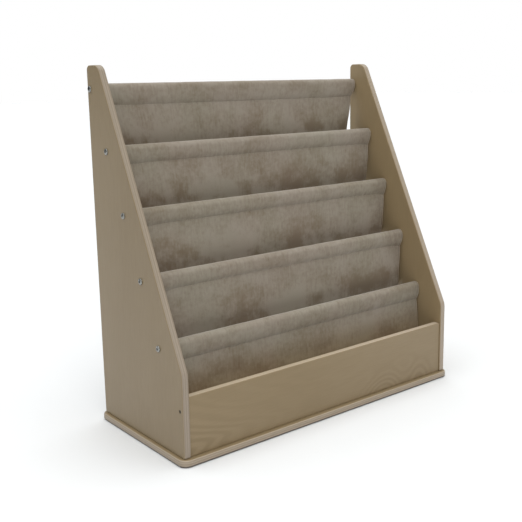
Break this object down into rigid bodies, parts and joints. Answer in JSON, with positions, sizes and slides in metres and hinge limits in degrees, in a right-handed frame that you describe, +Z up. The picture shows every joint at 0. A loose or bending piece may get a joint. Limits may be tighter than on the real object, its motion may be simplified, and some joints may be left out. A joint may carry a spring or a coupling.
{
  "type": "sling bookshelf",
  "caption": "Low sling bookshelf with plywood sides on a base board, a front book bin, and cloth pockets slung between wooden rods that step down and forward.",
  "frame": {"origin": "on the floor, under the middle of the base board", "axes": "+X along the object's width, to the right seen from the front; +Y to the back; +Z up"},
  "size_m": [0.762, 0.324, 0.745],
  "materials": {
    "plywood": "pale plywood under satin clear lacquer",
    "solid_wood": "bare smooth hardwood",
    "suede_cloth": "mottled taupe suede cloth",
    "zinc_plate": "bright zinc plating",
    "black_steel": "black oxide"
  },
  "bodies": {
    "root": {"base_board": "plywood", "side_panel_left": "plywood", "side_panel_right": "plywood", "front_panel": "plywood", "bin_batten": "solid_wood", "rod_1": "solid_wood", "rod_2": "solid_wood", "rod_3": "solid_wood", "rod_4": "solid_wood", "rod_5": "solid_wood", "rod_bolt_left_1": "zinc_plate", "rod_bolt_left_2": "zinc_plate", "rod_bolt_left_3": "zinc_plate", "rod_bolt_left_4": "zinc_plate", "rod_bolt_left_5": "zinc_plate", "rod_bolt_right_1": "zinc_plate", "rod_bolt_right_2": "zinc_plate", "rod_bolt_right_3": "zinc_plate", "rod_bolt_right_4": "zinc_plate", "rod_bolt_right_5": "zinc_plate", "rod_insert_left_1": "zinc_plate", "rod_insert_left_2": "zinc_plate", "rod_insert_left_3": "zinc_plate", "rod_insert_left_4": "zinc_plate", "rod_insert_left_5": "zinc_plate", "rod_insert_right_1": "zinc_plate", "rod_insert_right_2": "zinc_plate", "rod_insert_right_3": "zinc_plate", "rod_insert_right_4": "zinc_plate", "rod_insert_right_5": "zinc_plate", "sling_1": "suede_cloth", "sling_2": "suede_cloth", "sling_3": "suede_cloth", "sling_4": "suede_cloth", "bin_back_cloth": "suede_cloth", "front_screw_left": "black_steel", "front_screw_right": "black_steel", "base_screw_left_1": "zinc_plate", "base_screw_left_2": "zinc_plate", "base_screw_left_3": "zinc_plate", "base_screw_right_1": "zinc_plate", "base_screw_right_2": "zinc_plate", "base_screw_right_3": "zinc_plate", "base_screw_front_1": "zinc_plate", "base_screw_front_2": "zinc_plate", "base_screw_front_3": "zinc_plate", "base_screw_batten_1": "zinc_plate", "base_screw_batten_2": "zinc_plate", "base_screw_batten_3": "zinc_plate"}
  },
  "joints": []
}
